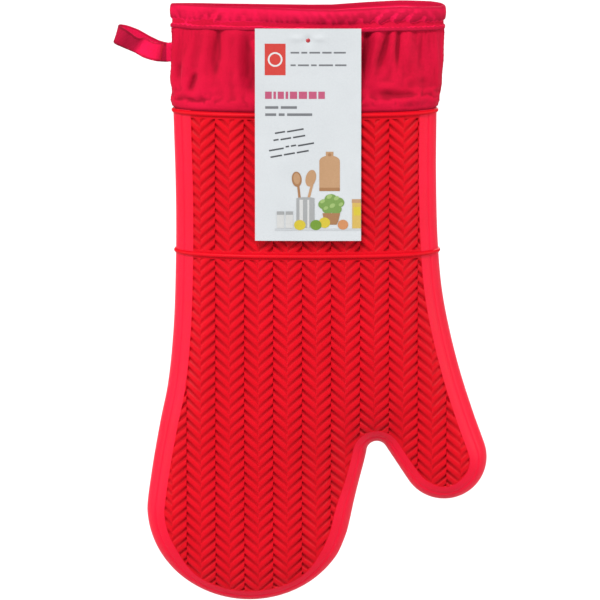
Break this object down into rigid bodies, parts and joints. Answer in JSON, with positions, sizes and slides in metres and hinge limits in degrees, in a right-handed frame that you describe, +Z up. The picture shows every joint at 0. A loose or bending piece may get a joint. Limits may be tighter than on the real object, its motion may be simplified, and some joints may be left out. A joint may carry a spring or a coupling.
{
  "type": "oven mitt",
  "caption": "Oven mitt with a red ribbed silicone shell over a wadded cotton lining, a cotton cuff with a folded hem, a hanging loop and a plain card tag.",
  "frame": {"origin": "centre of the mouth, level with the top of the hem", "axes": "+Z up along the mitt's length towards the mouth, +X towards the thumb, the front with its card faces -Y"},
  "size_m": [0.2186, 0.0465, 0.356],
  "materials": {
    "silicone": "matt moulded silicone with a satin sheen",
    "wadding": "soft felted polyester wadding",
    "lining_cotton": "plain woven cotton",
    "cuff_cotton": "plain woven cotton, lightly creased",
    "hem_cotton": "plain woven cotton, folded and stitched",
    "thread": "twisted cotton sewing thread",
    "tape": "folded cotton tape",
    "fastener_plastic": "glossy nylon filament",
    "card": null
  },
  "bodies": {
    "palm": {"silicone_palm": "silicone", "finger_crease": "silicone", "thumb_crease": "silicone", "wadding_palm": "wadding", "lining_palm": "lining_cotton", "cuff_front": "cuff_cotton", "cuff_back": "cuff_cotton", "hem_band": "hem_cotton", "hem_stitching": "thread", "rim_stitching": "thread", "side_seams": "thread", "loop_anchor": "tape"},
    "fingers": {"silicone_fingers": "silicone", "wadding_fingers": "wadding", "lining_fingers": "lining_cotton"},
    "thumb": {"silicone_thumb": "silicone", "wadding_thumb": "wadding", "lining_thumb": "lining_cotton"},
    "loop": {"hanging_loop": "tape", "loop_stitching": "thread"},
    "fastener": {"tag_fastener": "fastener_plastic"},
    "tag": {"hang_tag": "card"}
  },
  "joints": [
    {"name": "finger_flex", "type": "hinge", "parent": "palm", "child": "fingers", "pos_m": [0, 0, -0.275], "axis": [-1, 0, 0], "range_deg": [-45, 45], "stiffness_Nm_per_rad": 0.25, "deforming": ["finger_crease"]},
    {"name": "thumb_flex", "type": "hinge", "parent": "palm", "child": "thumb", "pos_m": [0.044, 0, -0.262], "axis": [-0.515, 0, -0.8572], "range_deg": [-40, 40], "stiffness_Nm_per_rad": 0.15, "deforming": ["thumb_crease"]},
    {"name": "loop_swing", "type": "hinge", "parent": "palm", "child": "loop", "pos_m": [-0.0831, 0, -0.027], "axis": [0, 0, 1], "range_deg": [-75, 75], "stiffness_Nm_per_rad": 0.004},
    {"name": "tag_swing", "type": "hinge", "parent": "palm", "child": "fastener", "pos_m": [0, -0.0174, -0.015], "axis": [0, -0.9984, 0.0558], "range_deg": [-45, 45]},
    {"name": "tag_lift", "type": "hinge", "parent": "fastener", "child": "tag", "pos_m": [0, -0.0174, -0.015], "axis": [-1, 0, 0], "range_deg": [0, 20]}
  ]
}
